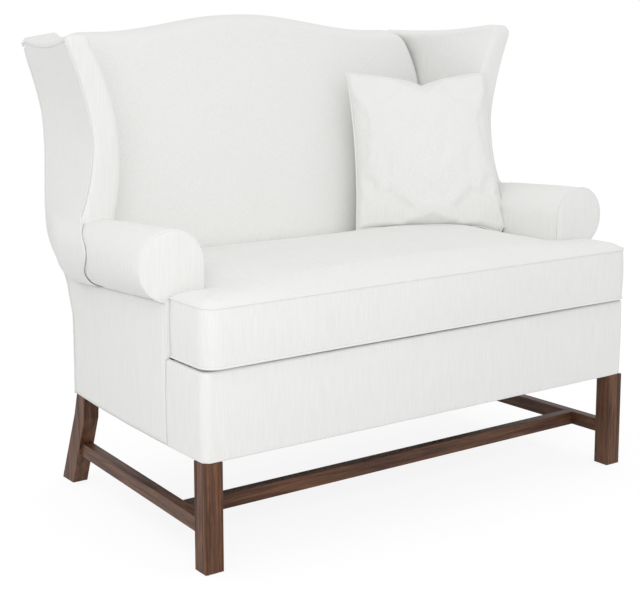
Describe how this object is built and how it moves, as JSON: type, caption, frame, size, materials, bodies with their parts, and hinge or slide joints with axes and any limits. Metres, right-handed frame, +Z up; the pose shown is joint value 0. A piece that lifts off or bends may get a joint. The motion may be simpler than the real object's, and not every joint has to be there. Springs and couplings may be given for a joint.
{
  "type": "high back settee",
  "caption": "Wing settee with camel back, rolled arms, loose T-shaped seat cushion, loose pillow, moulded front legs, raked rear legs and low stretchers.",
  "frame": {"origin": "on the floor, at the middle of the footprint of the bounding box", "axes": "+X to the right as seen from the front, the front faces -Y, +Z up"},
  "size_m": [1.314, 0.858, 1.104],
  "materials": {
    "leg_wood": "dark mahogany stain with a satin varnish",
    "frame_wood": "unfinished hardwood",
    "spring_steel": "plain drawn spring wire",
    "cambric": "thin matt lining cloth",
    "webbing_jute": "coarse woven strips",
    "cover_fabric": "plain woven cotton and linen, matt",
    "cushion_fabric": "plain woven cotton and linen, matt",
    "pillow_fabric": "plain woven cotton and linen, matt"
  },
  "bodies": {
    "frame": {"front_leg_left": "leg_wood", "front_leg_right": "leg_wood", "rear_leg_left": "leg_wood", "rear_leg_right": "leg_wood", "side_stretcher_left": "leg_wood", "side_stretcher_right": "leg_wood", "medial_stretcher": "leg_wood", "front_seat_rail": "frame_wood", "rear_seat_rail": "frame_wood", "side_seat_rail_left": "frame_wood", "side_seat_rail_right": "frame_wood", "front_corner_block_left": "frame_wood", "front_corner_block_right": "frame_wood", "rear_corner_block_left": "frame_wood", "rear_corner_block_right": "frame_wood", "seat_spring_1": "spring_steel", "seat_spring_2": "spring_steel", "seat_spring_3": "spring_steel", "seat_spring_4": "spring_steel", "seat_spring_5": "spring_steel", "seat_deck": "cover_fabric", "dust_cover": "cambric", "front_border": "cover_fabric", "outside_arm_left": "cover_fabric", "outside_arm_right": "cover_fabric", "arm_front_left": "cover_fabric", "arm_front_right": "cover_fabric", "arm_pad_left": "cover_fabric", "arm_pad_right": "cover_fabric", "arm_stump_left": "frame_wood", "arm_stump_right": "frame_wood", "arm_rail_left": "frame_wood", "arm_rail_right": "frame_wood", "arm_tack_rail_left": "frame_wood", "arm_tack_rail_right": "frame_wood", "inside_wing_left": "cover_fabric", "inside_wing_right": "cover_fabric", "outside_wing_left": "cover_fabric", "outside_wing_right": "cover_fabric", "wing_post_left": "frame_wood", "wing_post_right": "frame_wood", "wing_top_rail_left": "frame_wood", "wing_top_rail_right": "frame_wood", "crest_rail": "frame_wood", "lower_back_rail": "frame_wood", "back_stile": "frame_wood", "back_webbing": "webbing_jute", "inside_back": "cover_fabric", "outside_back": "cover_fabric"},
    "cushion": {"seat_cushion": "cushion_fabric"},
    "pillow": {"throw_pillow": "pillow_fabric"}
  },
  "joints": [
    {"name": "cushion_lift", "type": "slide", "parent": "frame", "child": "cushion", "axis": [0, 0, 1], "range_m": [0, 0.4]},
    {"name": "pillow_lift", "type": "slide", "parent": "cushion", "child": "pillow", "axis": [0, 0, 1], "range_m": [0, 0.5]}
  ]
}
